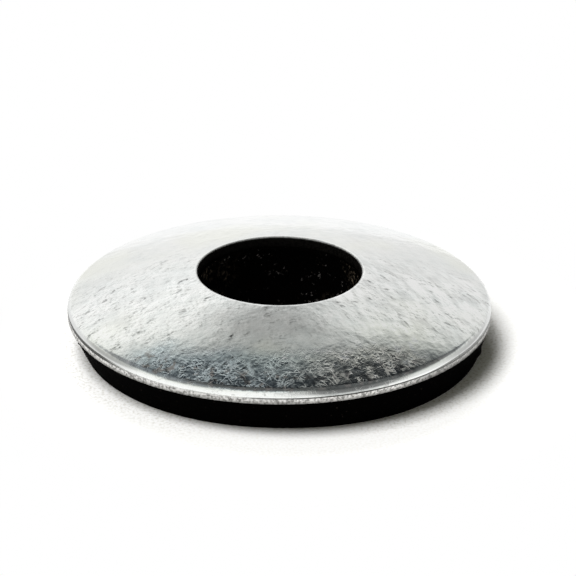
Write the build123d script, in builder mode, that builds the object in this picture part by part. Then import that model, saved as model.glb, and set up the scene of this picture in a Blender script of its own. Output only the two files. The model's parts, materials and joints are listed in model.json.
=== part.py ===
from build123d import *
import math
import os

# Bonded sealing washer: a dished steel washer with a rubber ring bonded under it.
# All sizes are in millimetres. +Z is up along the washer's axis, and the origin is
# the centre of the flat rubber face that the washer rests and seals on.

# Steel washer
washer_diameter = 25.4
screw_hole_diameter = 9.8
sheet_thickness = 0.7
dome_radius = 40.0  # curve of the dished sheet's underside, seen in section
rim_slope = 19.8  # degrees, how steeply the dome falls at its rim
rim_roll_radius = 0.55  # die roll on the top edge of the blanked rim
hole_edge_break = 0.12  # bevel on the top edge of the punched hole

# Rubber seal
seal_rim_height = 2.0  # rubber under the rim of the steel washer
seal_bore_diameter = 9.4  # a little under the screw, so that it grips the shank
seal_rim_step = 0.04  # the rubber stops this far inside the steel rim
seal_side_lean = 25.0  # degrees from upright, leaning in towards the foot

washer_radius = washer_diameter / 2
screw_hole_radius = screw_hole_diameter / 2
seal_top_radius = washer_radius - seal_rim_step
seal_bore_radius = seal_bore_diameter / 2

# The dome's curves share one centre, which is near the washer's axis but not on it,
# so the dome isn't quite a cap cut from a sphere.
dome_centre_radius = washer_radius - dome_radius * math.sin(math.radians(rim_slope))
dome_centre_height = seal_rim_height - dome_radius * math.cos(math.radians(rim_slope))


def dome_point(radius, offset):
    """Point of the dome's section at this radius, offset above its underside."""
    curve_radius = dome_radius + offset
    rise = math.sqrt(curve_radius**2 - (radius - dome_centre_radius) ** 2)
    return (radius, dome_centre_height + rise)


def dome_curve(inner_radius, outer_radius, offset):
    """Ends and middle of the dome's curve between two radii."""
    middle_radius = (inner_radius + outer_radius) / 2
    return [dome_point(radius, offset) for radius in (inner_radius, middle_radius, outer_radius)]


# Steel washer: blanked and punched from sheet, then dished. Its rim and hole are cut
# parallel to the axis. The blanking rolls the rim's top edge over, and the hole's top
# edge is bevelled a little.
sheet_under = dome_curve(screw_hole_radius, washer_radius, 0)
sheet_top = dome_curve(screw_hole_radius, washer_radius, sheet_thickness)

with BuildPart() as metal_washer:
    with BuildSketch(Plane.XZ) as sheet_section:
        with BuildLine():
            ThreePointArc(*sheet_under)
            Line(sheet_under[-1], sheet_top[-1])
            ThreePointArc(*sheet_top)
            Line(sheet_top[0], sheet_under[0])
        make_face()
        rim_corner = sheet_section.vertices().group_by(Axis.X)[-1].sort_by(Axis.Y)[-1]
        fillet(rim_corner, rim_roll_radius)
        hole_corner = sheet_section.vertices().group_by(Axis.X)[0].sort_by(Axis.Y)[-1]
        chamfer(hole_corner, hole_edge_break)
    revolve(axis=Axis.Z)

metal_washer.part.label = "metal_washer"

# Rubber seal: fills the dish, bonded to the whole underside of the steel. Its side
# leans in from the rim to a narrower foot, and its bore is narrower than the hole.
seal_top = dome_curve(seal_bore_radius, seal_top_radius, 0)
seal_side_height = seal_top[-1][1]
seal_foot_radius = seal_top_radius - seal_side_height * math.tan(math.radians(seal_side_lean))

with BuildPart() as rubber_seal:
    with BuildSketch(Plane.XZ) as seal_section:
        with BuildLine():
            ThreePointArc(*seal_top)
            Line(seal_top[-1], (seal_foot_radius, 0))
            Line((seal_foot_radius, 0), (seal_bore_radius, 0))
            Line((seal_bore_radius, 0), seal_top[0])
        make_face()
    revolve(axis=Axis.Z)

rubber_seal.part.label = "rubber_seal"

os.makedirs("parts", exist_ok=True)
export_step(metal_washer.part, "parts/metal_washer.step")
export_step(rubber_seal.part, "parts/rubber_seal.step")
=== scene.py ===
import json
import math

import bpy
from mathutils import Matrix, Vector


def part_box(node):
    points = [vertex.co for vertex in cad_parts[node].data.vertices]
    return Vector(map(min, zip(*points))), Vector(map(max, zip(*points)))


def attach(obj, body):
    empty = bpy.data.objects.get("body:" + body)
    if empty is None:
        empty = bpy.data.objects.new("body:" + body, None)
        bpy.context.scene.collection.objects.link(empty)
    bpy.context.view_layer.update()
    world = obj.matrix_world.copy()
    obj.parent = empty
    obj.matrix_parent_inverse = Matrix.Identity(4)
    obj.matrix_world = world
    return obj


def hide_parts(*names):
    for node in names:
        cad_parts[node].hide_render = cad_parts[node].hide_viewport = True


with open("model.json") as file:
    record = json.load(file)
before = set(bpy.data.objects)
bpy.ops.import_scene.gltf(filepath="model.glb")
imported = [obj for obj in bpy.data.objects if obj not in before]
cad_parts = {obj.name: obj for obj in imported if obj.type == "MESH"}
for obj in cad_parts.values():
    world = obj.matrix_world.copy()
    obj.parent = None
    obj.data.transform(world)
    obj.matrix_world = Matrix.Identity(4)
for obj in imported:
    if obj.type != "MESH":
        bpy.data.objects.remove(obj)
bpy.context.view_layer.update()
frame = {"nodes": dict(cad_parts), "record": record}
mm = 0.001
print("frame loaded:", ", ".join(sorted(frame["nodes"])))

mounts = {mount["name"]: mount for mount in frame["record"]["mounts"]}
plainWhite = (1.0, 1.0, 1.0, 1.0)


# Small helpers for node trees: a value or a socket goes into a socket.
def plug(tree, value, socket):
    if isinstance(value, bpy.types.NodeSocket):
        tree.links.new(value, socket)
    elif value is not None:
        socket.default_value = value


def makeNode(tree, kind, inputs=None, **settings):
    node = tree.nodes.new(kind)
    for name, value in settings.items():
        setattr(node, name, value)
    for name, value in (inputs or {}).items():
        plug(tree, value, node.inputs[name])
    return node


def calc(tree, operation, first, second=None, third=None, clamp=False):
    node = makeNode(tree, "ShaderNodeMath", operation=operation, use_clamp=clamp)
    for value, socket in zip((first, second, third), node.inputs):
        plug(tree, value, socket)
    return node.outputs[0]


def ease(tree, value, low, high, toLow=0.0, toHigh=1.0):
    inputs = {"Value": value, "From Min": low, "From Max": high, "To Min": toLow, "To Max": toHigh}
    node = makeNode(tree, "ShaderNodeMapRange", inputs, interpolation_type="SMOOTHSTEP")
    return node.outputs["Result"]


def between(tree, share, least, most):
    return calc(tree, "MULTIPLY_ADD", share, most - least, least)


def product(tree, first, *others):
    for value in others:
        first = calc(tree, "MULTIPLY", first, value)
    return first


# Noise swings about a half.
def centred(tree, noise):
    return calc(tree, "SUBTRACT", noise, 0.5)


def vectorCalc(tree, operation, first, second=None):
    node = makeNode(tree, "ShaderNodeVectorMath", {0: first, 1: second}, operation=operation)
    isNumber = operation in ("LENGTH", "DISTANCE", "DOT_PRODUCT")
    return node.outputs["Value" if isNumber else "Vector"]


def scaled(tree, vector, amount):
    node = makeNode(tree, "ShaderNodeVectorMath", {0: vector, "Scale": amount}, operation="SCALE")
    return node.outputs["Vector"]


def turnedAboutZ(tree, vector, angle):
    inputs = {"Vector": vector, "Angle": angle}
    node = makeNode(tree, "ShaderNodeVectorRotate", inputs, rotation_type="Z_AXIS")
    return node.outputs["Vector"]


def noiseValue(tree, vector, scale, detail, seed):
    inputs = {"Vector": vector, "W": seed, "Scale": scale, "Detail": detail}
    return makeNode(tree, "ShaderNodeTexNoise", inputs, noise_dimensions="4D").outputs["Fac"]


def blendColors(tree, amount, first, second):
    inputs = {0: amount, 6: first, 7: second}
    return makeNode(tree, "ShaderNodeMix", inputs, data_type="RGBA").outputs[2]


def attributeValue(tree, label):
    return makeNode(tree, "ShaderNodeAttribute", attribute_name=label).outputs["Fac"]


def objectPlace(tree):
    place = makeNode(tree, "ShaderNodeTexCoord").outputs["Object"]
    return place, makeNode(tree, "ShaderNodeSeparateXYZ", {"Vector": place}).outputs


def newGroup(name, kind, inputs, outputs):
    tree = bpy.data.node_groups.new(name, kind)
    for label, socketType, default in inputs:
        socket = tree.interface.new_socket(label, in_out="INPUT", socket_type=socketType)
        if default is not None:
            socket.default_value = default
    for label, socketType in outputs:
        tree.interface.new_socket(label, in_out="OUTPUT", socket_type=socketType)
    return tree, tree.nodes.new("NodeGroupInput"), tree.nodes.new("NodeGroupOutput")


# The values go into a group's inputs in their order.
def useGroup(tree, group, *values):
    node = makeNode(tree, "ShaderNodeGroup", node_tree=group)
    for value, socket in zip(values, node.inputs):
        plug(tree, value, socket)
    return node.outputs


def newMaterial(name):
    material = bpy.data.materials.new(name)
    material.use_nodes = True
    return material, material.node_tree, material.node_tree.nodes["Principled BSDF"]


# Sections are closed loops of rows: radius, height, then a value for each of these attributes.
# On the steel the second value marks painted shade in the hole, on the bevel and at the foot of the cut
# face;
# on the rubber it marks the bore, and crease marks the flat foot, where dust clings.
rowAttributes = ("cutFace", "shadeAndDirt", "ragged", "crease")


def spaced(first, last, count):
    return [first + (last - first) * step / (count - 1) for step in range(count)]


def arcPoints(centre, radius, first, last, count):
    turns = spaced(first, last, count)
    return [(centre[0] + radius * math.cos(a), centre[1] + radius * math.sin(a)) for a in turns]


steelLow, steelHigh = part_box("metal_washer")

# the dished steel washer: sizes in metres, angles in radians
steel = {
    "rimRadius": steelHigh.x,
    "holeRadius": mounts["screw_hole"]["dims"]["r_mm"] * mm,
    "rimHeight": steelLow.z,  # underside of the sheet at its rim
    "sheet": 0.7 * mm,
    "domeRadius": 40 * mm,
    "rimSlope": math.radians(19.8),
    "rimRoll": 0.55 * mm,
    "holeBevel": 0.12 * mm,
    "bevelBulge": 0.02 * mm,
    "bevelSpan": (0.15, 0.9),  # shares of the way up where its points begin and end
    "creaseDepth": 0.035 * mm,  # fine line between the rolled edge and the cut face
    "creaseWidth": 0.10 * mm,
    "creaseSteps": 10,  # points of the roll over which the crease's mark comes in
    "burrRound": 0.05 * mm,
    "burrArc": (math.radians(-20), math.radians(-90)),
    "cutRagged": 0.012 * mm,  # how far the cut faces stray inwards
    "cutFootShade": 0.6,  # painted shade at the foot of the outer cut face
    "cutFootShadePower": 1.5,
    "raggedScale": 2600.0,  # per metre
    "stepsRound": 480,
    "seed": 3.0,
    # how many points each stretch of the section has
    "counts": {"wall": 8, "bevel": 6, "dome": 64, "roll": 22, "cut": 9, "burr": 5, "under": 12},
}


# The dome's curves share one centre, which is near the axis but not on it.
def domeCentre():
    radius = steel["rimRadius"] - steel["domeRadius"] * math.sin(steel["rimSlope"])
    return radius, steel["rimHeight"] - steel["domeRadius"] * math.cos(steel["rimSlope"])


def domeHeight(radius, offset):
    centreRadius, centreHeight = domeCentre()
    rise = (steel["domeRadius"] + offset) ** 2 - (radius - centreRadius) ** 2
    return centreHeight + math.sqrt(rise)


def steelSection():
    rim, hole, roll = steel["rimRadius"], steel["holeRadius"], steel["rimRoll"]
    bevel, ragged = steel["holeBevel"], steel["cutRagged"]
    counts = steel["counts"]
    rows = []

    # hole wall, upwards, dark all over as painted shade
    wallTop = domeHeight(hole, steel["sheet"]) - bevel
    for height in spaced(domeHeight(hole, 0), wallTop, counts["wall"]):
        rows.append((hole, height, 1.0, 1.0, ragged, 0.0))

    # bevel round the hole, bulging a little, with painted shade fading upwards
    bevelTop = domeHeight(hole + bevel, steel["sheet"])
    for share in spaced(*steel["bevelSpan"], counts["bevel"]):
        bulge = steel["bevelBulge"] * math.sin(math.pi * share)
        radius = hole + bevel * share - bulge
        height = wallTop + (bevelTop - wallTop) * share + bulge
        paintedShade = 1.0 - share**2
        rows.append((radius, height, 1.0 - share, paintedShade, ragged * 0.5, 0.0))

    # top of the dome, outwards to where the rolled edge begins
    rollRadius = rim - roll
    centreRadius, centreHeight = domeCentre()
    reach = steel["domeRadius"] + steel["sheet"] - roll
    rollHeight = centreHeight + math.sqrt(reach**2 - (rollRadius - centreRadius) ** 2)
    rollStart = math.atan2(rollHeight - centreHeight, rollRadius - centreRadius)
    topEnd = rollRadius + roll * math.cos(rollStart)
    for radius in spaced(hole + bevel, topEnd, counts["dome"]):
        rows.append((radius, domeHeight(radius, steel["sheet"]), 0.0, 0.0, 0.0, 0.0))

    # rolled edge, down to the crease
    half = steel["creaseWidth"] / 2
    rollEnd = math.asin(half / roll)
    steps = arcPoints((rollRadius, rollHeight), roll, rollStart, rollEnd, counts["roll"])
    plainSteps = counts["roll"] - steel["creaseSteps"]
    for number, (radius, height) in enumerate(steps[1:]):
        near = max(0.0, (number - plainSteps) / steel["creaseSteps"])  # how near the crease is
        rows.append((radius, height, 0.0, 0.0, 0.0, near))

    # crease, then the cut face and its rounded lower edge, with painted shade growing towards the foot
    for share in (0.25, 0.5, 0.75):
        depth = steel["creaseDepth"] * math.sin(math.pi * share)
        rows.append((rim - depth, rollHeight + half - 2 * half * share, 0.5, 0.0, 0.0, 1.0))
    burr = steel["burrRound"]
    cutTop, cutFoot = rollHeight - half, steel["rimHeight"] + burr
    for height in spaced(cutTop, cutFoot, counts["cut"]):
        downwards = (cutTop - height) / (cutTop - cutFoot)
        paintedShade = steel["cutFootShade"] * downwards ** steel["cutFootShadePower"]
        rows.append((rim, height, 1.0, paintedShade, ragged, 0.0))
    for radius, height in arcPoints((rim - burr, cutFoot), burr, *steel["burrArc"], counts["burr"]):
        rows.append((radius, height, 1.0, steel["cutFootShade"], ragged * 0.5, 0.0))

    # underside, back to the hole
    for radius in spaced(rim - 3 * burr, hole + burr, counts["under"]):
        rows.append((radius, domeHeight(radius, 0), 0.0, 0.0, 0.0, 0.0))
    rows.reverse()  # so that faces point outwards
    return rows


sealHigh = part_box("rubber_seal")[1]

# the bonded rubber ring
seal = {
    "rimRadius": sealHigh.x,
    "boreRadius": mounts["seal_bore"]["dims"]["r_mm"] * mm,
    "sideLean": math.radians(25),
    "sideSpan": (0.07, 0.97),  # shares of the way up where the side's points begin and end
    "footRound": 0.10 * mm,
    "footArc": math.radians(-75),  # where the foot's outer round begins
    "edgeRound": 0.05 * mm,
    "sideRagged": 0.03 * mm,
    "edgeRagged": 0.3,  # share of it left at the side's foot and towards its upper edge
    "edgeShare": 1 / 8,  # of the side's height, where it fades to that
    "boreRagged": 0.07 * mm,
    "raggedScale": 3200.0,
    "stepsRound": 400,
    "seed": 11.0,
    "counts": {"foot": 10, "corner": 5, "side": 30, "top": 12, "bore": 34},
    # the foot spreads on one side: from, full, full, to (degrees), and how far
    "spread": (-98, -52, -12, 4),
    "spreadBy": 0.32 * mm,
    "spreadInner": 2 / 3,  # share of the ring's width that stays as it is
    "spreadBlend": 1.2 * mm,
    "spreadGap": 0.002 * mm,  # least left between the spread side and the steel rim's line
    # moulding flash: azimuth, height, half width, half height, how far
    "lumps": (
        (-159.5, 1.86 * mm, 0.10 * mm, 0.08 * mm, 0.16 * mm),
        (-20.0, 1.20 * mm, 0.45 * mm, 0.22 * mm, 0.16 * mm),
        (-15.0, 0.70 * mm, 0.40 * mm, 0.20 * mm, 0.14 * mm),
        (-26.0, 0.45 * mm, 0.35 * mm, 0.18 * mm, 0.10 * mm),
    ),
}


def sealSection():
    rim, bore, corner = seal["rimRadius"], seal["boreRadius"], seal["edgeRound"]
    topEdge = domeHeight(rim, 0)
    foot = rim - topEdge * math.tan(seal["sideLean"])
    footRound, side, wall = seal["footRound"], seal["sideRagged"], seal["boreRagged"]
    counts, least = seal["counts"], seal["edgeRagged"]
    rows = []

    # flat foot, outwards, and the round to its side
    for radius in spaced(bore + footRound, foot - footRound, counts["foot"]):
        rows.append((radius, 0.0, 0.0, 0.0, 0.0, 1.0))
    arc = seal["footArc"], -seal["sideLean"], counts["corner"]
    for radius, height in arcPoints((foot - footRound, footRound), footRound, *arc):
        rows.append((radius, height, 0.0, 0.0, side * least, 0.0))

    # leaning side, upwards, and the edge under the rim
    for share in spaced(*seal["sideSpan"], counts["side"]):
        height = topEdge * share
        edge = least + (1.0 - least) * min(1.0, (1.0 - share) / seal["edgeShare"])
        rows.append((foot + (rim - foot) * share, height, 1.0, 0.0, side * edge, 0.0))
    rows.append((rim - corner, domeHeight(rim - corner, 0), 0.0, 0.0, 0.0, 0.0))

    # top, bonded to the steel, inwards
    for radius in spaced(rim - 4 * corner, steel["holeRadius"], counts["top"]):
        rows.append((radius, domeHeight(radius, 0), 0.0, 0.0, 0.0, 0.0))
    lip = domeHeight(bore, 0)
    rows.append((bore + corner, lip - 0.1 * corner, 0.0, 0.0, 0.0, 0.0))  # a slightly rounded lip

    # bore, downwards
    for height in spaced(lip - corner, footRound, counts["bore"]):
        rows.append((bore, height, 1.0, 1.0, wall, 0.0))
    rows.append((bore + 0.4 * footRound, 0.2 * footRound, 0.0, 0.0, 0.0, 0.0))  # and foot
    return rows


def smoothStep(value, low, high):
    share = min(1.0, max(0.0, (value - low) / (high - low)))
    return share * share * (3 - 2 * share)


# The rubber's outer side is uneven: its foot spreads on one side and flash stands out in lumps.
def spreadFoot(mesh):
    first, full, last, end = seal["spread"]
    topEdge = domeHeight(seal["rimRadius"], 0)
    inside = seal["boreRadius"] + seal["spreadInner"] * (seal["rimRadius"] - seal["boreRadius"])
    farthest = seal["rimRadius"] - seal["spreadGap"]
    for vertex in mesh.vertices:
        radius = math.hypot(vertex.co.x, vertex.co.y)
        if radius < inside:
            continue
        azimuth = math.degrees(math.atan2(vertex.co.y, vertex.co.x))
        share = smoothStep(azimuth, first, full) * (1 - smoothStep(azimuth, last, end))
        outer = smoothStep(radius, inside, inside + seal["spreadBlend"])
        push = seal["spreadBy"] * share * outer * max(0.0, 1 - vertex.co.z / topEdge)
        for heading, height, halfWidth, halfHeight, depth in seal["lumps"]:
            along = math.radians(azimuth - heading) * radius / halfWidth
            upwards = (vertex.co.z - height) / halfHeight
            push += depth * outer * math.exp(-along * along - upwards * upwards)
        wanted = min(radius + push, farthest)
        if wanted > radius:
            vertex.co.x *= wanted / radius
            vertex.co.y *= wanted / radius


def sectionMesh(name, rows):
    mesh = bpy.data.meshes.new(name)
    corners = [(row[0], 0.0, row[1]) for row in rows]
    edges = [(index, (index + 1) % len(rows)) for index in range(len(rows))]
    mesh.from_pydata(corners, edges, [])
    for position, label in enumerate(rowAttributes, start=2):
        layer = mesh.attributes.new(label, "FLOAT", "POINT")
        layer.data.foreach_set("value", [row[position] for row in rows])
    return mesh


mergeWithin = 0.0005 * mm
straysFrom = (0.25, 0.75)  # levels of noise between which a cut face strays inwards


# The section is turned about the axis: a grid has one row for each point of the section.
# The fractions added to whole numbers keep them clear of rounding.
def turnedRingTree():
    inputs = (
        ("Section", "NodeSocketGeometry", None),
        ("Steps Round", "NodeSocketInt", 360),
        ("Ragged Scale", "NodeSocketFloat", 2500.0),
        ("Seed", "NodeSocketFloat", 1.0),
        ("Finish", "NodeSocketMaterial", None),
    )
    tree, given, result = newGroup(
        "turnedRing", "GeometryNodeTree", inputs, [("Ring", "NodeSocketGeometry")]
    )
    section = given.outputs["Section"]
    steps = given.outputs["Steps Round"]
    size = makeNode(tree, "GeometryNodeAttributeDomainSize", {"Geometry": section}, component="MESH")
    count = size.outputs["Point Count"]
    rowCount = calc(tree, "ADD", count, 1.0)
    gridSizes = {"Vertices X": calc(tree, "ADD", steps, 1.0), "Vertices Y": rowCount}
    grid = makeNode(tree, "GeometryNodeMeshGrid", gridSizes)

    index = makeNode(tree, "GeometryNodeInputIndex").outputs["Index"]
    column = calc(tree, "FLOOR", calc(tree, "DIVIDE", calc(tree, "ADD", index, 0.5), rowCount))
    row = calc(tree, "SUBTRACT", index, calc(tree, "MULTIPLY", column, rowCount))
    point = calc(tree, "FLOOR", calc(tree, "MODULO", calc(tree, "ADD", row, 0.25), count))

    def sampled(kind, value):
        inputs = {"Geometry": section, "Value": value, "Index": point}
        settings = {"data_type": kind, "domain": "POINT"}
        return makeNode(tree, "GeometryNodeSampleIndex", inputs, **settings).outputs["Value"]

    def named(label):
        kind = "GeometryNodeInputNamedAttribute"
        return makeNode(tree, kind, {"Name": label}, data_type="FLOAT").outputs["Attribute"]

    def changed(shape, kind, inputs=None, **settings):
        inputs = {"Geometry": shape, **(inputs or {})}
        return makeNode(tree, "GeometryNode" + kind, inputs, **settings).outputs["Geometry"]

    place = makeNode(tree, "GeometryNodeInputPosition").outputs["Position"]
    turn = calc(tree, "MULTIPLY", calc(tree, "DIVIDE", column, steps), math.tau)
    turned = turnedAboutZ(tree, sampled("FLOAT_VECTOR", place), turn)

    kept = {"Name": "UVMap", "Value": grid.outputs["UV Map"]}
    shape = grid.outputs["Mesh"]
    shape = changed(shape, "StoreNamedAttribute", kept, data_type="FLOAT2", domain="CORNER")
    for label in rowAttributes:
        kept = {"Name": label, "Value": sampled("FLOAT", named(label))}
        shape = changed(shape, "StoreNamedAttribute", kept, data_type="FLOAT", domain="POINT")
    shape = changed(shape, "SetPosition", {"Position": turned})
    shape = changed(shape, "MergeByDistance", {"Distance": mergeWithin})

    # cut faces stray inwards by up to their ragged depth
    rough = noiseValue(tree, None, given.outputs["Ragged Scale"], 4.0, given.outputs["Seed"])
    inwards = calc(tree, "MULTIPLY", ease(tree, rough, *straysFrom), named("ragged"))
    normal = makeNode(tree, "GeometryNodeInputNormal").outputs["Normal"]
    offset = scaled(tree, normal, calc(tree, "MULTIPLY", inwards, -1.0))
    shape = changed(shape, "SetPosition", {"Offset": offset})
    shape = changed(shape, "SetShadeSmooth")
    shape = changed(shape, "RealizeInstances")
    shape = changed(shape, "SetMaterial", {"Material": given.outputs["Finish"]})
    tree.links.new(shape, result.inputs["Ring"])
    return tree


def turnRing(name, rows, sizes, finish, tree):
    holder = bpy.data.objects.new(name + "_section", sectionMesh(name + "_section", rows))
    bpy.context.scene.collection.objects.link(holder)
    modifier = holder.modifiers.new("turned", "NODES")
    modifier.node_group = tree
    values = {
        "Steps Round": sizes["stepsRound"],
        "Ragged Scale": sizes["raggedScale"],
        "Seed": sizes["seed"],
        "Finish": finish,
    }
    for item in tree.interface.items_tree:
        if item.name in values:
            modifier[item.identifier] = values[item.name]
    graph = bpy.context.evaluated_depsgraph_get()
    mesh = bpy.data.meshes.new_from_object(
        holder.evaluated_get(graph), preserve_all_data_layers=True, depsgraph=graph
    )
    mesh.name = name
    bpy.data.objects.remove(holder)
    piece = bpy.data.objects.new(name, mesh)
    bpy.context.scene.collection.objects.link(piece)
    print(name, "turned:", len(mesh.polygons), "faces")
    return piece


def bumpNormal(tree, shader, height, depth):
    bump = makeNode(tree, "ShaderNodeBump", {"Strength": 1.0, "Distance": depth, "Height": height})
    plug(tree, bump.outputs["Normal"], shader.inputs["Normal"])


# Grain: an even speckle, as a value and a mask of its darkest spots.
def grainGroup():
    inputs = (
        ("Vector", "NodeSocketVector", None),
        ("Scale", "NodeSocketFloat", 1000.0),
        ("Detail", "NodeSocketFloat", 2.0),
        ("Low", "NodeSocketFloat", 0.4),
        ("High", "NodeSocketFloat", 0.6),
        ("Seed", "NodeSocketFloat", 0.0),
    )
    outputs = [("Value", "NodeSocketFloat"), ("Mask", "NodeSocketFloat")]
    tree, given, result = newGroup("grain", "ShaderNodeTree", inputs, outputs)
    vector, scale, detail, low, high, seed = given.outputs[: len(inputs)]
    value = noiseValue(tree, vector, scale, detail, seed)
    plug(tree, value, result.inputs["Value"])
    plug(tree, ease(tree, value, low, high), result.inputs["Mask"])
    return tree


# Scratches: thin broken lines that run one way, from the middle level of a stretched noise.
def scratchGroup():
    inputs = (
        ("Vector", "NodeSocketVector", None),
        ("Angle", "NodeSocketFloat", 0.0),
        ("Scale", "NodeSocketFloat", 1500.0),
        ("Stretch", "NodeSocketFloat", 0.1),
        ("Width", "NodeSocketFloat", 0.02),
        ("Cover", "NodeSocketFloat", 0.5),
        ("Seed", "NodeSocketFloat", 0.0),
    )
    breakScale, breakSeed, breakBlend = 0.45, 5.0, 0.12
    outputs = [("Mask", "NodeSocketFloat")]
    tree, given, result = newGroup("scratches", "ShaderNodeTree", inputs, outputs)
    vector, angle, scale, stretch, width, cover, seed = given.outputs[: len(inputs)]
    squeeze = makeNode(tree, "ShaderNodeCombineXYZ", {"X": stretch, "Y": 1.0, "Z": 1.0}).outputs[0]
    stretched = vectorCalc(tree, "MULTIPLY", turnedAboutZ(tree, vector, angle), squeeze)
    level = calc(tree, "ABSOLUTE", centred(tree, noiseValue(tree, stretched, scale, 1.0, seed)))
    line = ease(tree, level, 0.0, width, 1.0, 0.0)
    # a second noise breaks the lines
    coarser = calc(tree, "MULTIPLY", scale, breakScale)
    breaks = noiseValue(tree, vector, coarser, 1.0, calc(tree, "ADD", seed, breakSeed))
    least = calc(tree, "SUBTRACT", 1.0, cover)
    left = ease(tree, breaks, least, calc(tree, "ADD", least, breakBlend))
    plug(tree, calc(tree, "MULTIPLY", line, left), result.inputs["Mask"])
    return tree


# Painted dent shading: a noise less the same noise a little way off, painted into the colour so each dent
# has a lit and a shaded side.
# Slopes below Calm stay plain.
def paintedDentShadeGroup():
    inputs = (
        ("Vector", "NodeSocketVector", None),
        ("Scale", "NodeSocketFloat", 2000.0),
        ("Detail", "NodeSocketFloat", 2.0),
        ("Shift", "NodeSocketFloat", 0.0001),
        ("Calm", "NodeSocketFloat", 0.0),
        ("Dark", "NodeSocketFloat", 1.0),
        ("Light", "NodeSocketFloat", 0.5),
        ("Seed", "NodeSocketFloat", 0.0),
    )
    shiftWay = (0.6, -0.8, 0.0)
    outputs = [("Shade", "NodeSocketFloat")]
    tree, given, result = newGroup("paintedDentShade", "ShaderNodeTree", inputs, outputs)
    vector, scale, detail, shift, calm, dark, light, seed = given.outputs[: len(inputs)]
    moved = vectorCalc(tree, "ADD", vector, scaled(tree, shiftWay, shift))
    here, beside = (noiseValue(tree, spot, scale, detail, seed) for spot in (vector, moved))
    slope = calc(tree, "SUBTRACT", here, beside)
    shaded = calc(tree, "MINIMUM", calc(tree, "ADD", slope, calm), 0.0)
    lit = calc(tree, "MAXIMUM", calc(tree, "SUBTRACT", slope, calm), 0.0)
    shade = calc(tree, "ADD", product(tree, shaded, dark), product(tree, lit, light))
    plug(tree, shade, result.inputs["Shade"])
    return tree


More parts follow.
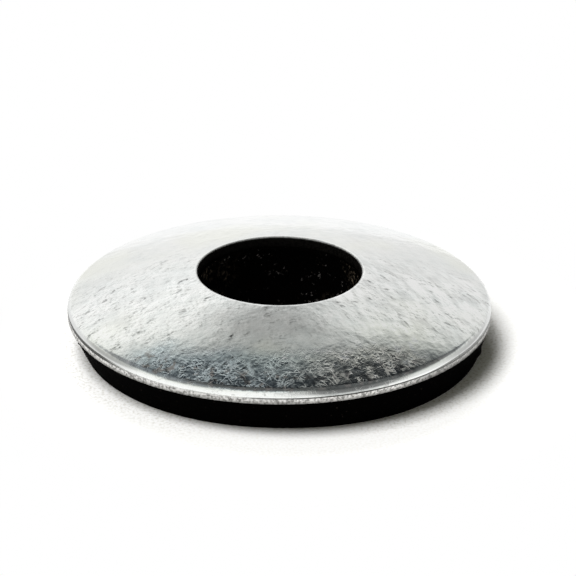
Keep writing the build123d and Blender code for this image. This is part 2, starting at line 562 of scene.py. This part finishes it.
# colours, then sizes in metres, angles in degrees and scales per metre; pairs are from and to
zinc = {
    "pale": (0.95, 0.955, 0.945, 1.0),
    "dull": (0.86, 0.885, 0.88, 1.0),
    "warm": (0.93, 0.94, 0.89, 1.0),
    "speckColor": (0.50, 0.51, 0.49, 1.0),
    "speckShare": 0.55,
    "fineShare": 0.5,  # of the fine mottling beside the broad
    "roughness": (0.09, 0.15),
    "roughFrom": (0.3, 0.7),  # levels of the fine mottling
    "scratchRoughness": 0.60,  # added along a scratch
    "frostRoughness": 0.13,  # added in frosted spots
    "specular": 0.02,
    "rightFrom": (-1.0 * mm, 4.0 * mm),  # where the left side's looks turn into the right side's
    "backFrom": (-1.0 * mm, 4.0 * mm),
    "calmBack": 0.85,  # share of the painted dent shading, the tone marks and the specks that is lost at the back
    "deeperFrom": (0.0, 4.0 * mm),
    "deeperBack": 1.8,  # the coating is this much more uneven there
    # even speckles: scale, detail, low, high, seed
    "speckles": {
        "broad": (260, 3.0, 0.38, 0.62, 1.0),
        "fine": (1500, 3.0, 0.35, 0.68, 2.0),
        "warm": (170, 2.0, 0.50, 0.72, 5.0),
        "clusters": (520, 2.0, 0.38, 0.62, 7.0),
        "specks": (3000, 2.0, 0.64, 0.72, 8.0),
        "pits": (6500, 2.0, 0.4, 0.6, 9.0),
        "waves": (900, 2.0, 0.4, 0.6, 10.0),
        "mottle": (2600, 2.0, 0.4, 0.6, 11.0),
        "torn": (6500, 3.0, 0.34, 0.60, 12.0),
        "paintedShade": (190, 2.0, 0.38, 0.62, 13.0),
        "frost": (2400, 4.0, 0.50, 0.60, 14.0),
        "folds": (2300, 2.0, 0.4, 0.6, 15.0),
        "patches": (1400, 4.0, 0.40, 0.56, 16.0),
        "stains": (2200, 3.0, 0.52, 0.62, 17.0),
        "border": (420, 2.0, 0.4, 0.6, 18.0),
        "streaks": (2400, 3.0, 0.40, 0.60, 31.0),
        "clouds": (700, 2.0, 0.40, 0.60, 32.0),
    },
    # depths of the unevenness
    "depths": {"pits": 0.002 * mm, "waves": 0.022 * mm, "mottle": 0.007 * mm},
    "foldDepth": 0.05 * mm,
    "scratchDepth": 0.007 * mm,
    # painted light and shade of the dents, in the colour: angle, stretch, scale, detail, shift, calm,
    # dark, light, seed
    "dentShadeLeft": (
        (-14, 0.80, 1500, 4.0, 0.12 * mm, 0.035, 5.4, 2.3, 41.0),
        (-5, 0.80, 3800, 2.0, 0.05 * mm, 0.0, 1.5, 0.8, 42.0),
    ),
    "dentShadeRight": (
        (55, 0.62, 1800, 4.0, 0.10 * mm, 0.04, 5.2, 1.6, 43.0),
        (57, 0.80, 4000, 2.0, 0.05 * mm, 0.0, 1.2, 0.7, 44.0),
    ),
    "dentShare": (0.45, 1.35),  # outside their clusters, inside them
    "clouds": (0, 0.5),  # angle, stretch
    "cloudShade": 0.50,
    "streaks": (60, 0.24),
    "streakShade": 1.0,
    "swayScale": 300,
    "swayBy": 0.8 * mm,  # how far the streaks wander
    # the scuffed part lies on the -Y side, with a wandering border, and thins out left and right
    "scuffCool": (0.86, 0.95, 1.0, 1.0),  # tints on the left and on the right
    "scuffWarm": (1.0, 0.98, 0.93, 1.0),
    "scuffFrom": (8.9 * mm, 10.2 * mm),  # radii
    "scuffSide": (-7.4 * mm, -9.4 * mm),
    "scuffWander": 3.6 * mm,
    "scuffAcross": (3.5 * mm, 9.0 * mm),
    "scuffMiddle": (-1.0 * mm, 1.0 * mm),
    "scuffThin": (0.62, 0.34),  # share left on the left, on the right
    "scuffLeftEnd": (-9.6 * mm, -7.4 * mm),
    "scuffRightEnd": (9.8 * mm, 7.4 * mm),
    "scuffBetween": 0.08,  # share left between its patches
    "scuffLeast": 0.04,
    # angle, scale, stretch, width, cover
    "scratches": (
        (62, 1500, 0.12, 0.018, 0.60),
        (-48, 1300, 0.14, 0.018, 0.57),
        (20, 2000, 0.14, 0.018, 0.54),
        (-80, 2400, 0.12, 0.020, 0.53),
        (0, 2300, 0.80, 0.020, 0.55),
        (30, 3400, 0.70, 0.024, 0.54),
    ),
    "scratchSeed": 60.0,
    "stain": (0.55, 0.53, 0.52, 1.0),
    "stainFrom": (10.8 * mm, 11.5 * mm),  # radii
    # beyond this radius the sheet is rolled smooth by the die; its colour there is lightened as a painted
    # highlight and darkened at the ends as painted shade
    "rollFrom": (12.48 * mm, 12.62 * mm),
    "rollCalm": 0.75,  # how far it is smooth and has the roll's own colour
    "rollColor": (0.97, 0.99, 0.97, 1.0),
    "rollEnd": (0.64, 0.65, 0.64, 1.0),
    "rollLeft": (-7.8 * mm, -9.8 * mm),
    "rollRight": (9.2 * mm, 11.2 * mm),
    "rollDim": (0.44, 0.46, 0.45, 1.0),  # painted shade: its shine is weak for a short way right of the middle
    "rollDimFrom": (1.4 * mm, 3.0 * mm),
    "rollDimTo": (4.4 * mm, 7.0 * mm),
    "rollDimFront": (0.0, -8.0 * mm),
    # painted dark reflection: a darker line where the roll starts, in front
    "edgeDarkReflection": (0.36, 0.38, 0.38, 1.0),
    "edgeFrom": (12.26 * mm, 12.36 * mm),  # radii
    "edgeTo": (12.46 * mm, 12.54 * mm),
    "edgeLeft": (-7.0 * mm, -3.6 * mm),
    "edgeRight": (0.5 * mm, 3.0 * mm),
    "edgeWider": 0.09 * mm,  # on the right
    # the cut face has painted light right of the middle and painted shade at the right end: from, to, how
    # pale
    "cutColor": (0.86, 0.85, 0.83, 1.0),
    "cutDark": (0.30, 0.295, 0.285, 1.0),
    "cutMiddle": (-1.0 * mm, 3.0 * mm, 1.18),
    "cutEnd": (6.4 * mm, 8.8 * mm, 0.60),
    "cutRoughness": 0.55,
    # painted shade: near black, speckled
    "paintedShadeColor": (0.0010, 0.0008, 0.0008, 1.0),
    "paintedShadeSpeck": (0.005, 0.0045, 0.004, 1.0),
    # painted shade in the rim's crease is thin and broken on the left, and spreads at both sides
    "creaseShade": 0.90,
    "creaseSides": (8.0 * mm, 10.5 * mm),
    "creaseFrom": (0.72, 0.27),  # mark where the painted shade begins: in the middle, at the sides
    "creaseBlend": 0.28,
    "creaseBroken": (0.10, 0.45),  # least and most painted shade where it is broken
    "creaseWhole": (-2.6 * mm, -0.8 * mm),  # where it closes up
    "creaseRight": 0.65,  # share left at the right-hand side
}


def drawnOut(tree, place, degrees, stretch):
    turned = turnedAboutZ(tree, place, math.radians(degrees))
    return vectorCalc(tree, "MULTIPLY", turned, (stretch, 1.0, 1.0))


def zincMaterial(grain, scratches, paintedDentShade):
    material, tree, shader = newMaterial("galvanised zinc")
    place, axes = objectPlace(tree)
    across, along = axes["X"], axes["Y"]
    cut, shadeAndDirt, crease = (attributeValue(tree, label) for label in ("cutFace", "shadeAndDirt", "crease"))
    radius = vectorCalc(tree, "LENGTH", vectorCalc(tree, "MULTIPLY", place, (1.0, 1.0, 0.0)))
    onRight = ease(tree, across, *zinc["rightFrom"])
    onLeft = calc(tree, "SUBTRACT", 1.0, onRight)
    aside = calc(tree, "ABSOLUTE", across)
    behind = ease(tree, along, *zinc["backFrom"], 1.0, 1.0 - zinc["calmBack"])
    rolled = ease(tree, radius, *zinc["rollFrom"])
    calm = between(tree, rolled, 1.0, 1.0 - zinc["rollCalm"])

    def speckle(label, vector=place):
        return useGroup(tree, grain, vector, *zinc["speckles"][label])

    # the scuffed part of the front, whole and then in patches
    border = centred(tree, speckle("border")["Value"])
    border = calc(tree, "MULTIPLY_ADD", border, zinc["scuffWander"], along)
    front = product(
        tree, ease(tree, radius, *zinc["scuffFrom"]), ease(tree, border, *zinc["scuffSide"]),
        ease(tree, across, *zinc["scuffLeftEnd"]), ease(tree, across, *zinc["scuffRightEnd"]),
    )
    thinner = ease(tree, across, *zinc["scuffMiddle"], *zinc["scuffThin"])
    thin = ease(tree, aside, *zinc["scuffAcross"], 1.0, thinner)
    patches = between(tree, speckle("patches")["Mask"], zinc["scuffBetween"], 1.0)
    scuffed = calc(tree, "MULTIPLY", front, calc(tree, "MULTIPLY", thin, patches))
    scuffed = between(tree, scuffed, zinc["scuffLeast"], 1.0)

    # broad and fine mottling of the coating
    fine, share = speckle("fine"), zinc["fineShare"]
    broad = calc(tree, "MULTIPLY", speckle("broad")["Mask"], 1.0 - share)
    mottle = calc(tree, "MULTIPLY_ADD", fine["Mask"], share, broad)
    color = blendColors(tree, mottle, zinc["pale"], zinc["dull"])
    color = blendColors(tree, speckle("warm")["Mask"], color, zinc["warm"])

    # painted light and shade of dents, drawn out one way on the left and the other way on the right, in
    # loose clusters
    shade = None
    for side, rows in ((onLeft, zinc["dentShadeLeft"]), (onRight, zinc["dentShadeRight"])):
        for angle, stretch, *numbers in rows:
            dentShade = useGroup(tree, paintedDentShade, drawnOut(tree, place, angle, stretch), *numbers)["Shade"]
            sided = calc(tree, "MULTIPLY", dentShade, side)
            shade = sided if shade is None else calc(tree, "ADD", shade, sided)
    clusters = between(tree, speckle("clusters")["Mask"], *zinc["dentShare"])
    shade = calc(tree, "MULTIPLY", shade, clusters)

    # long wandering streaks on the right, faint clouds everywhere
    sway = {"Vector": place, "Scale": zinc["swayScale"], "Detail": 1.0}
    wander = scaled(tree, makeNode(tree, "ShaderNodeTexNoise", sway).outputs["Color"], zinc["swayBy"])
    swayed = vectorCalc(tree, "ADD", place, wander)
    streaks = centred(tree, speckle("streaks", drawnOut(tree, swayed, *zinc["streaks"]))["Value"])
    streaks = calc(tree, "MULTIPLY", streaks, zinc["streakShade"])
    shade = calc(tree, "MULTIPLY_ADD", streaks, onRight, shade)
    clouds = centred(tree, speckle("clouds", drawnOut(tree, place, *zinc["clouds"]))["Value"])
    shade = calc(tree, "MULTIPLY_ADD", clouds, zinc["cloudShade"], shade)
    shade = product(tree, shade, behind, calm)
    color = scaled(tree, color, calc(tree, "ADD", 1.0, shade))

    # the rolled rim: painted highlight, with painted shade at both ends and for a short way right of the
    # middle
    ends = (ease(tree, across, *zinc[label]) for label in ("rollLeft", "rollRight"))
    paintedRollShine = blendColors(tree, calc(tree, "ADD", *ends), zinc["rollColor"], zinc["rollEnd"])
    dim = product(
        tree, ease(tree, across, *zinc["rollDimFrom"]),
        ease(tree, across, *zinc["rollDimTo"], 1.0, 0.0), ease(tree, along, *zinc["rollDimFront"]),
    )
    paintedRollShine = blendColors(tree, dim, paintedRollShine, zinc["rollDim"])
    color = blendColors(tree, calc(tree, "MULTIPLY", rolled, zinc["rollCalm"]), color, paintedRollShine)

    # dark specks
    specks = product(tree, speckle("specks")["Mask"], behind, zinc["speckShare"])
    color = blendColors(tree, specks, color, zinc["speckColor"])

    # scratches that cross at several angles
    allLines = None
    for number, (angle, *numbers) in enumerate(zinc["scratches"]):
        seed = zinc["scratchSeed"] + number
        lines = useGroup(tree, scratches, place, math.radians(angle), *numbers, seed)["Mask"]
        allLines = lines if allLines is None else calc(tree, "MAXIMUM", allLines, lines)
    allLines = calc(tree, "MULTIPLY", allLines, scuffed)
    height = calc(tree, "MULTIPLY", allLines, -zinc["scratchDepth"])

    # the scuffed part is crumpled into folds, a little tinted and stained
    folds = calc(tree, "ABSOLUTE", centred(tree, speckle("folds")["Value"]))
    folds = product(tree, folds, scuffed, front)
    height = calc(tree, "MULTIPLY_ADD", folds, zinc["foldDepth"], height)
    tinted = calc(tree, "MULTIPLY", front, calc(tree, "SUBTRACT", 1.0, rolled))
    tint = blendColors(tree, onRight, zinc["scuffCool"], zinc["scuffWarm"])
    tint = blendColors(tree, tinted, plainWhite, tint)
    # painted dark reflection where the roll starts, in front, wider on the right
    wider = ease(tree, across, *zinc["edgeRight"], 0.0, zinc["edgeWider"])
    inner = ease(tree, calc(tree, "SUBTRACT", radius, wider), *zinc["edgeTo"], 1.0, 0.0)
    edge = product(
        tree, front, ease(tree, radius, *zinc["edgeFrom"]), ease(tree, across, *zinc["edgeLeft"]), inner
    )
    tint = blendColors(tree, edge, tint, zinc["edgeDarkReflection"])
    stains = ease(tree, radius, *zinc["stainFrom"])
    stains = product(tree, speckle("stains")["Mask"], tinted, stains)
    tint = blendColors(tree, stains, tint, zinc["stain"])
    color = vectorCalc(tree, "MULTIPLY", color, tint)

    # uneven coating at three scales, deeper at the back
    deeper = ease(tree, along, *zinc["deeperFrom"], 1.0, zinc["deeperBack"])
    for label, depth in zinc["depths"].items():
        depth = calc(tree, "MULTIPLY", deeper, depth)
        height = calc(tree, "MULTIPLY_ADD", speckle(label)["Value"], depth, height)
    height = calc(tree, "MULTIPLY", height, calm)

    # cut faces: grey, coarse and torn, with painted light right of the middle and painted shade at the
    # right end
    torn = speckle("torn")["Mask"]
    (*middle, pale), (*end, dull) = zinc["cutMiddle"], zinc["cutEnd"]
    cutPaintedLightAndShade = product(tree, ease(tree, across, *middle, 1.0, pale), ease(tree, across, *end, 1.0, dull))
    cutShade = scaled(tree, blendColors(tree, torn, zinc["cutDark"], zinc["cutColor"]), cutPaintedLightAndShade)
    color = blendColors(tree, cut, color, cutShade)

    # painted shade in the hole, on the bevel, at the foot of the cut face and in the crease
    sides = ease(tree, aside, *zinc["creaseSides"])
    narrow = between(tree, sides, *zinc["creaseFrom"])
    spread = ease(tree, crease, narrow, calc(tree, "ADD", narrow, zinc["creaseBlend"]))
    broken = between(tree, speckle("paintedShade")["Mask"], *zinc["creaseBroken"])
    broken = calc(tree, "MAXIMUM", broken, ease(tree, across, *zinc["creaseWhole"]))
    atSide = between(tree, onRight, 1.0, zinc["creaseRight"])
    amount = makeNode(tree, "ShaderNodeMix", {0: sides, 2: broken, 3: atSide}, data_type="FLOAT")
    shadeAndDirt = calc(tree, "MAXIMUM", shadeAndDirt, product(tree, spread, amount.outputs[0], zinc["creaseShade"]))
    paintedDark = blendColors(tree, torn, zinc["paintedShadeColor"], zinc["paintedShadeSpeck"])
    color = blendColors(tree, shadeAndDirt, color, paintedDark)
    plug(tree, color, shader.inputs["Base Color"])
    plug(tree, calc(tree, "SUBTRACT", 1.0, shadeAndDirt), shader.inputs["Metallic"])

    rough = ease(tree, fine["Value"], *zinc["roughFrom"], *zinc["roughness"])
    rough = calc(tree, "MULTIPLY_ADD", allLines, zinc["scratchRoughness"], rough)
    frosted = calc(tree, "MULTIPLY", speckle("frost")["Mask"], scuffed)
    rough = calc(tree, "MULTIPLY_ADD", frosted, zinc["frostRoughness"], rough)
    extra = calc(tree, "MULTIPLY", cut, zinc["cutRoughness"] - zinc["roughness"][1])
    plug(tree, calc(tree, "ADD", rough, extra), shader.inputs["Roughness"])
    shader.inputs["Specular IOR Level"].default_value = zinc["specular"]
    bumpNormal(tree, shader, height, 1.0)
    return material


rubber = {
    "black": (0.0005, 0.0004, 0.0004, 1.0),
    "speck": (0.016, 0.013, 0.011, 1.0),
    "boreSpeck": (0.07, 0.064, 0.062, 1.0),
    "boreLitBrown": (0.10, 0.08, 0.06, 1.0),
    "boreAside": (2.2 * mm, 4.4 * mm),  # painted light: the bore is lit brown at its left and right
    "footDust": (0.045, 0.041, 0.037, 1.0),
    "footShare": (0.3, 0.9),  # least and most dust on the foot
    # scale, detail, low, high, seed
    "speckles": {
        "specks": (5200, 1.0, 0.69, 0.76, 21.0),
        "dust": (4200, 3.0, 0.5, 0.68, 22.0),
        "patches": (420, 2.0, 0.45, 0.65, 23.0),
        "grit": (4300, 2.0, 0.61, 0.70, 24.0),
        "clusters": (600, 1.0, 0.50, 0.62, 25.0),
    },
    "roughness": 0.85,
    "specular": 0.006,
    "bumpDepth": 0.03 * mm,
}


def rubberMaterial(grain):
    material, tree, shader = newMaterial("seal rubber")
    place, axes = objectPlace(tree)
    bore, foot = (attributeValue(tree, label) for label in ("shadeAndDirt", "crease"))
    speckles = rubber["speckles"].items()
    grains = {label: useGroup(tree, grain, place, *numbers) for label, numbers in speckles}
    masks = {label: outputs["Mask"] for label, outputs in grains.items()}
    color = blendColors(tree, masks["specks"], rubber["black"], rubber["speck"])
    gritty = product(tree, masks["grit"], masks["clusters"], bore)
    color = blendColors(tree, gritty, color, rubber["boreSpeck"])
    # dusty patches, lit brown at the bore's left and right as painted light
    aside = ease(tree, calc(tree, "ABSOLUTE", axes["X"]), *rubber["boreAside"])
    litBrown = product(tree, masks["patches"], aside, bore, masks["dust"])
    color = blendColors(tree, litBrown, color, rubber["boreLitBrown"])
    dusty = calc(tree, "MULTIPLY", between(tree, masks["dust"], *rubber["footShare"]), foot)
    color = blendColors(tree, dusty, color, rubber["footDust"])
    plug(tree, color, shader.inputs["Base Color"])
    shader.inputs["Roughness"].default_value = rubber["roughness"]
    shader.inputs["Specular IOR Level"].default_value = rubber["specular"]
    bumpNormal(tree, shader, grains["dust"]["Value"], rubber["bumpDepth"])
    return material


grain = grainGroup()
ringTree = turnedRingTree()

zincFinish = zincMaterial(grain, scratchGroup(), paintedDentShadeGroup())
steelRing = turnRing("zinc_steel_ring", steelSection(), steel, zincFinish, ringTree)
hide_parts("metal_washer")
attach(steelRing, "root")

sealRing = turnRing("black_rubber_ring", sealSection(), seal, rubberMaterial(grain), ringTree)
spreadFoot(sealRing.data)
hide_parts("rubber_seal")
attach(sealRing, "root")
print("pieces made")

# pairs are from and to; degrees for headings (clockwise from +Y, seen from above) and rises
studio = {
    "floorSize": 3.0,
    "floorColor": (0.98, 0.98, 0.98, 1.0),
    "floorGrain": (0.91, 0.905, 0.89, 1.0),
    "shadeGrain": (0.74, 0.73, 0.70, 1.0),  # coarser, darker grain close to the washer, at both sides: painted shadow
    "shadeGrainReach": (12.8 * mm, 14.4 * mm),
    "shadeGrainAside": (2.0 * mm, 7.0 * mm),
    # speckles: scale, detail, low, high, seed
    "fineSpeckle": (6000, 2.0, 0.40, 0.70, 51.0),
    "coarseSpeckle": (5200, 3.0, 0.46, 0.66, 52.0),
    "whiteCentre": (1.5 * mm, -1.0 * mm, 0.0),
    "whiteFrom": (14.0 * mm, 19.0 * mm),  # beyond this the floor is plain white to the eye
    # degrees up the pale walls, and the light there
    "walls": (
        (34, (0.98, 0.98, 0.97)),
        (50, (0.89, 0.90, 0.87)),
        (53.5, (0.74, 0.76, 0.73)),
        (56.5, (0.39, 0.41, 0.40)),
        (59.5, (0.09, 0.10, 0.11)),
        (63, (0.020, 0.025, 0.030)),
        (88, (0.040, 0.043, 0.047)),
    ),
    # left and right of +Y the walls get lower: how fast on each side, and the sharpness of the turn
    "sideDrop": (0.69, 0.90),
    "dropFrom": (-0.05, 0.05),
    "dropCorner": 0.07,
    "mostDrop": 0.42,
    "rightFrom": (-0.12, 0.20),
    "rightShare": 0.80,  # the right hand wall beside the left hand one
    # least light from a part of the ceiling: a direction's reach along an axis, from and to, and the light
    "least": (
        ("Aside", 0.42, 0.62, 0.20),
        ("Y", -0.50, -0.80, 0.32),
        ("Z", 0.915, 0.95, 0.28),
        ("Y", 0.28, 0.08, 0.26),
    ),
    # dim gaps in the walls: heading, rise, inner and outer half width, share of light left
    "gaps": (
        (-2, 47, 2, 13, 0.42),
        (-15, 10, 4, 22, 0.88),
        (137, 30, 16, 34, 0.18),
        (-78, 22, 12, 26, 0.60),
        (64, 14, 10, 26, 0.80),
    ),
    # soft glows on the dark ceiling: heading, rise, inner and outer half width, light added
    "glows": (
        (-60, 44, 8, 26, 0.24),
        (60, 42, 8, 26, 0.14),
    ),
    "diffuseColor": (0.335, 0.33, 0.272, 1.0),  # the share of the walls' light that matte surfaces get
}


def mixShaders(tree, outputKind, amount, first, second):
    inputs = {0: amount, 1: first.outputs[0], 2: second.outputs[0]}
    mix = makeNode(tree, "ShaderNodeMixShader", inputs)
    makeNode(tree, outputKind, {"Surface": mix.outputs[0]})


def makeFloor():
    size = studio["floorSize"]
    mesh = bpy.data.meshes.new("floor")
    mesh.from_pydata(
        [(-size, -size, 0), (size, -size, 0), (size, size, 0), (-size, size, 0)], [], [(0, 1, 2, 3)]
    )
    floor = bpy.data.objects.new("floor", mesh)
    bpy.context.scene.collection.objects.link(floor)
    material, tree = newMaterial("pale floor")[:2]
    tree.nodes.clear()
    place, axes = objectPlace(tree)
    fine = useGroup(tree, grain, place, *studio["fineSpeckle"])["Mask"]
    paper = blendColors(tree, fine, studio["floorColor"], studio["floorGrain"])
    # painted shadow: a coarser, darker grain close to the washer, at both sides
    near = ease(tree, vectorCalc(tree, "LENGTH", place), *studio["shadeGrainReach"], 1.0, 0.0)
    aside = ease(tree, calc(tree, "ABSOLUTE", axes["X"]), *studio["shadeGrainAside"])
    coarse = useGroup(tree, grain, place, *studio["coarseSpeckle"])["Mask"]
    paper = blendColors(tree, product(tree, near, aside, coarse), paper, studio["shadeGrain"])
    matte = makeNode(tree, "ShaderNodeBsdfDiffuse", {"Color": paper})

    # plain white to the eye, and in metal or glass, away from the washer's shadow
    away = vectorCalc(tree, "DISTANCE", place, studio["whiteCentre"])
    plain = ease(tree, away, *studio["whiteFrom"])
    path = makeNode(tree, "ShaderNodeLightPath").outputs
    seen = calc(tree, "ADD", path["Is Camera Ray"], path["Is Glossy Ray"])
    seen = calc(tree, "ADD", seen, path["Is Transmission Ray"], clamp=True)
    white = makeNode(tree, "ShaderNodeEmission", {"Strength": 1.0})
    amount = calc(tree, "MULTIPLY", plain, seen)
    mixShaders(tree, "ShaderNodeOutputMaterial", amount, matte, white)
    mesh.materials.append(material)


def direction(heading, rise):
    heading, rise = math.radians(heading), math.radians(rise)
    level = math.cos(rise)
    return Vector((math.sin(heading) * level, math.cos(heading) * level, math.sin(rise)))


# Pale walls with dim gaps go up to an edge that drops to the sides. The ceiling is dark, with soft
# glows, and lighter far aside, overhead and over -Y. The camera itself sees plain white.
def makeWorld():
    world = bpy.data.worlds.new("studio")
    bpy.context.scene.world = world
    world.use_nodes = True
    tree = world.node_tree
    tree.nodes.clear()
    sight = makeNode(tree, "ShaderNodeTexCoord").outputs["Generated"]
    axes = makeNode(tree, "ShaderNodeSeparateXYZ", {"Vector": sight}).outputs
    across = axes["X"]
    corner = studio["dropCorner"]
    drop = calc(tree, "MULTIPLY_ADD", across, across, corner**2)
    drop = calc(tree, "SUBTRACT", calc(tree, "SQRT", drop), corner)
    steepness = ease(tree, across, *studio["dropFrom"], *studio["sideDrop"])
    drop = calc(tree, "MINIMUM", calc(tree, "MULTIPLY", drop, steepness), studio["mostDrop"])
    degrees = calc(tree, "ADD", calc(tree, "ARCSINE", axes["Z"]), drop)
    degrees = calc(tree, "MULTIPLY", degrees, math.degrees(1.0))
    share = calc(tree, "DIVIDE", degrees, 90.0, clamp=True)
    ramp = makeNode(tree, "ShaderNodeValToRGB", {"Fac": share})
    stops = ramp.color_ramp.elements
    while len(stops) < len(studio["walls"]):
        stops.new(0.5)
    for stop, (edge, light) in zip(stops, studio["walls"]):
        stop.position = edge / 90
        stop.color = (*light, 1.0)

    def patch(heading, rise, inner, outer, within, beyond):
        near = vectorCalc(tree, "DOT_PRODUCT", sight, direction(heading, rise))
        angle = calc(tree, "ARCCOSINE", near)
        return ease(tree, angle, math.radians(inner), math.radians(outer), within, beyond)

    strength = ease(tree, across, *studio["rightFrom"], 1.0, studio["rightShare"])
    for *place, left in studio["gaps"]:
        strength = calc(tree, "MULTIPLY", strength, patch(*place, left, 1.0))
    light = scaled(tree, ramp.outputs["Color"], strength)
    for *place, added in studio["glows"]:
        light = vectorCalc(tree, "ADD", light, patch(*place, added, 0.0))
    reaches = {"Aside": calc(tree, "ABSOLUTE", across), "Y": axes["Y"], "Z": axes["Z"]}
    least = 0.0
    for axis, start, end, lightThere in studio["least"]:
        far = ease(tree, reaches[axis], start, end, 0.0, lightThere)
        least = calc(tree, "MAXIMUM", least, far)
    light = vectorCalc(tree, "MAXIMUM", light, least)
    path = makeNode(tree, "ShaderNodeLightPath").outputs
    share = blendColors(tree, path["Is Diffuse Ray"], plainWhite, studio["diffuseColor"])
    light = vectorCalc(tree, "MULTIPLY", light, share)
    walls = makeNode(tree, "ShaderNodeBackground", {"Color": light, "Strength": 1.0})
    white = makeNode(tree, "ShaderNodeBackground", {"Color": plainWhite, "Strength": 1.0})
    mixShaders(tree, "ShaderNodeOutputWorld", path["Is Camera Ray"], walls, white)


# Lamps: heading is degrees clockwise from +Y seen from above, rise is degrees above the floor.
lamps = {
    "keyLeft": {"heading": -115, "rise": 66, "away": 0.45, "width": 0.26, "height": 0.26, "level": 0.69},
    "keyBack": {"heading": -68, "rise": 70, "away": 0.45, "width": 0.18, "height": 0.18, "level": 0.08},
    "fillBack": {"heading": -12, "rise": 42, "away": 0.45, "width": 0.20, "height": 0.12, "level": 0.16},
}


def makeLamp(name, lamp):
    light = bpy.data.lights.new(name, "AREA")
    light.shape = "RECTANGLE"
    light.size = lamp["width"]
    light.size_y = lamp["height"]
    towards = direction(lamp["heading"], lamp["rise"])
    # level is how brightly a white floor at the origin would show by this lamp alone
    light.energy = lamp["level"] * 4 * math.pi * lamp["away"] ** 2 / towards.z
    obj = bpy.data.objects.new(name, light)
    obj.location = towards * lamp["away"]
    obj.rotation_euler = (-towards).to_track_quat("-Z", "Y").to_euler()
    obj.visible_glossy = False  # the metal shows the walls alone
    bpy.context.scene.collection.objects.link(obj)


# The camera stands at an elevation over -Y, and turns a little so the origin falls
# at the wanted pixel of a 576 by 576 frame.
view = {
    "frameWidth": 576,
    "focalPixels": 3372.6,
    "elevation": math.radians(25.47),
    "distance": 203.2 * mm,
    "originPixel": (279.5, 340.2),
    "roll": math.radians(-0.16),
    "sensor": 36.0,
    "clip": (0.01, 20.0),
}


def makeCamera():
    data = bpy.data.cameras.new("camera")
    data.sensor_width = view["sensor"]
    data.lens = view["focalPixels"] * view["sensor"] / view["frameWidth"]
    data.clip_start, data.clip_end = view["clip"]
    camera = bpy.data.objects.new("camera", data)
    bpy.context.scene.collection.objects.link(camera)
    away, rise = view["distance"], view["elevation"]
    place = Vector((0.0, -away * math.cos(rise), away * math.sin(rise)))
    half = view["frameWidth"] / 2
    right = view["originPixel"][0] - half
    up = half - view["originPixel"][1]
    sight = Vector((right, up, -view["focalPixels"]))
    aside = Vector((0, 0, -1)).rotation_difference(sight).to_matrix().to_4x4()
    facing = (-place).to_track_quat("-Z", "Y").to_matrix().to_4x4()
    rolled = Matrix.Rotation(-view["roll"], 4, "Z")
    camera.matrix_world = Matrix.Translation(place) @ facing @ rolled @ aside.inverted()
    bpy.context.scene.camera = camera


makeFloor()
makeWorld()
for lampName, lampSizes in lamps.items():
    makeLamp(lampName, lampSizes)
makeCamera()
bpy.context.scene.view_settings.view_transform = "Standard"
print("studio made")
